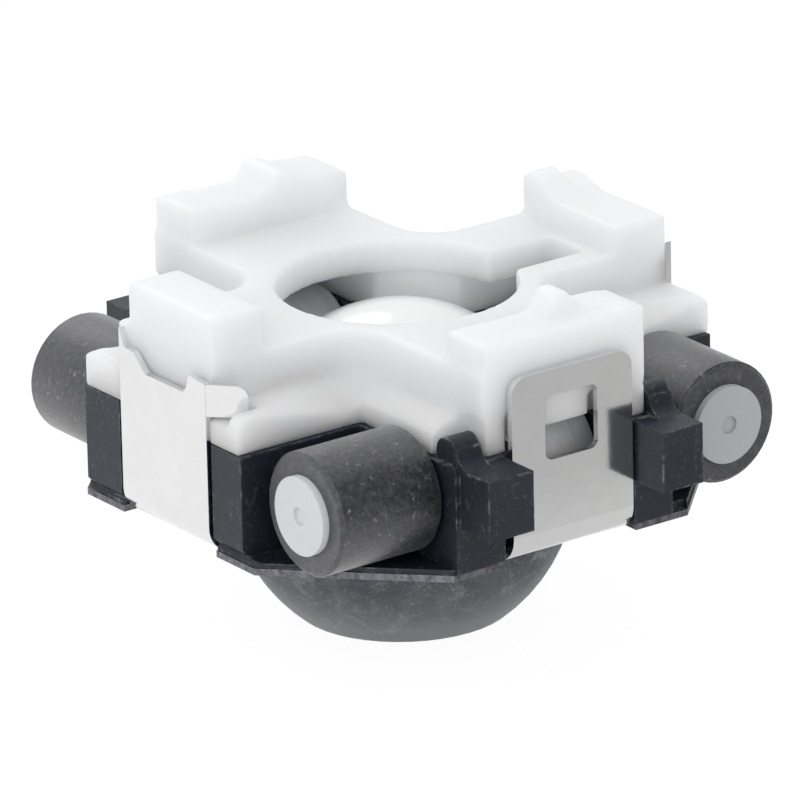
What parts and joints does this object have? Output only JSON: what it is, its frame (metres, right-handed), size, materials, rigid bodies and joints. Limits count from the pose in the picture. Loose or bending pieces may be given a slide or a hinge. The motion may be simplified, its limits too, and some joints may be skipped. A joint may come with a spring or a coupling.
{
  "type": "trackball navigation switch",
  "caption": "Miniature trackball switch: glossy ball in a domed collar, ring-magnet rollers in a pinwheel, black moulded case, tabbed steel shell and white ring cover.",
  "frame": {"origin": "on the ball's axis, in the middle of the straight part of the collar, 0.235 mm below the steel plate", "axes": "+Z from the ball's opening to the white cover, +X and +Y square to the tabs; the two windowed tabs stand on -Y and +Y"},
  "size_m": [0.01, 0.0116, 0.0071],
  "materials": {
    "steel": "satin, partly mirror-like",
    "black_plastic": "moulded, fine grain",
    "dome_plastic": "worn, pale specks",
    "white_plastic": "translucent, soft gloss",
    "ball_plastic": "high gloss",
    "shaft_steel": "turned",
    "drum_steel": "turned, polished",
    "core_plastic": "matt",
    "magnet": "pressed ferrite, matt with dust specks"
  },
  "bodies": {
    "case": {"shell": "steel", "housing": "black_plastic", "ball_collar": "dome_plastic", "cover": "white_plastic"},
    "ball": {"ball": "ball_plastic"},
    "front_roller": {"front_shaft": "shaft_steel", "front_drum": "drum_steel", "front_hub": "core_plastic", "front_magnet": "magnet"},
    "right_roller": {"right_shaft": "shaft_steel", "right_drum": "drum_steel", "right_hub": "core_plastic", "right_magnet": "magnet"},
    "back_roller": {"back_shaft": "shaft_steel", "back_drum": "drum_steel", "back_hub": "core_plastic", "back_magnet": "magnet"},
    "left_roller": {"left_shaft": "shaft_steel", "left_drum": "drum_steel", "left_hub": "core_plastic", "left_magnet": "magnet"}
  },
  "joints": [
    {"name": "ball_roll", "type": "hinge", "parent": "case", "child": "ball", "pos_m": [0, 0, 0.00044], "axis": [1, 0, 0], "continuous": true},
    {"name": "front_spin", "type": "hinge", "parent": "case", "child": "front_roller", "pos_m": [0, -0.00358, 0.00158], "axis": [1, 0, 0], "continuous": true},
    {"name": "right_spin", "type": "hinge", "parent": "case", "child": "right_roller", "pos_m": [0.00358, 0, 0.00158], "axis": [0, 1, 0], "continuous": true},
    {"name": "back_spin", "type": "hinge", "parent": "case", "child": "back_roller", "pos_m": [0, 0.00358, 0.00158], "axis": [1, 0, 0], "continuous": true},
    {"name": "left_spin", "type": "hinge", "parent": "case", "child": "left_roller", "pos_m": [-0.00358, 0, 0.00158], "axis": [0, 1, 0], "continuous": true}
  ],
  "couplings": [
    {"joint": "front_spin", "follows": "ball_roll", "ratio": -3.2571},
    {"joint": "back_spin", "follows": "ball_roll", "ratio": -3.2571}
  ]
}
